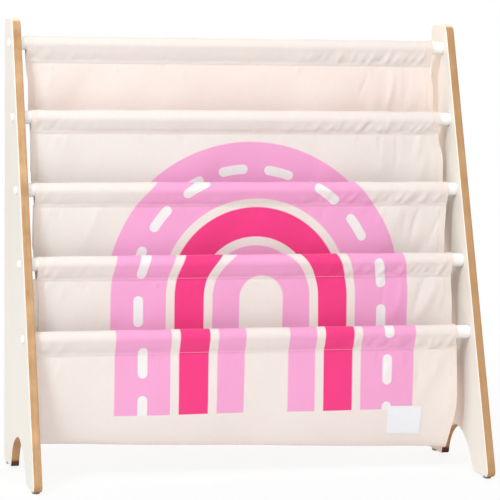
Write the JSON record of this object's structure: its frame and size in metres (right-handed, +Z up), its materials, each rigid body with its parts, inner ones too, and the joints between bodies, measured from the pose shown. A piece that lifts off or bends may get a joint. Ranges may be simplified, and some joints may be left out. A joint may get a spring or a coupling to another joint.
{
  "type": "sling bookshelf",
  "caption": "Children's bookshelf: canvas pockets hang from dowels between two slanted side panels, so books stand face out.",
  "frame": {"origin": "on the floor, under the middle of the object's box", "axes": "+X to the viewer's right along the dowels, +Y to the back, +Z up; the books face -Y"},
  "size_m": [0.6238, 0.2674, 0.6033],
  "materials": {
    "painted_wood": "white satin paint on the faces, bare clear-coated wood on the edges",
    "painted_dowel": "white satin paint",
    "canvas": "cream plain-weave cotton canvas, printed in pink",
    "label": "white woven tape, blank",
    "screw_steel": "zinc plated",
    "cap_plastic": "satin white",
    "glide_plastic": "grey, matte"
  },
  "bodies": {
    "root": {"side_panel_left": "painted_wood", "side_panel_right": "painted_wood", "dowel_1": "painted_dowel", "dowel_2": "painted_dowel", "dowel_3": "painted_dowel", "dowel_4": "painted_dowel", "dowel_5": "painted_dowel", "panel_screw_left_1": "screw_steel", "panel_screw_left_2": "screw_steel", "panel_screw_left_3": "screw_steel", "panel_screw_left_4": "screw_steel", "panel_screw_left_5": "screw_steel", "panel_screw_right_1": "screw_steel", "panel_screw_right_2": "screw_steel", "panel_screw_right_3": "screw_steel", "panel_screw_right_4": "screw_steel", "panel_screw_right_5": "screw_steel", "screw_cap_left_1": "cap_plastic", "screw_cap_left_2": "cap_plastic", "screw_cap_left_3": "cap_plastic", "screw_cap_left_4": "cap_plastic", "screw_cap_left_5": "cap_plastic", "screw_cap_right_1": "cap_plastic", "screw_cap_right_2": "cap_plastic", "screw_cap_right_3": "cap_plastic", "screw_cap_right_4": "cap_plastic", "screw_cap_right_5": "cap_plastic", "floor_glide_front_left": "glide_plastic", "floor_glide_rear_left": "glide_plastic", "floor_glide_front_right": "glide_plastic", "floor_glide_rear_right": "glide_plastic", "sling_sleeve_1": "canvas", "sling_sleeve_2": "canvas", "sling_sleeve_3": "canvas", "sling_sleeve_4": "canvas", "sling_sleeve_5": "canvas", "sling_pocket_1": "canvas", "sling_pocket_2": "canvas", "sling_pocket_3": "canvas", "sling_pocket_4": "canvas", "sewn_label": "label"}
  },
  "joints": []
}
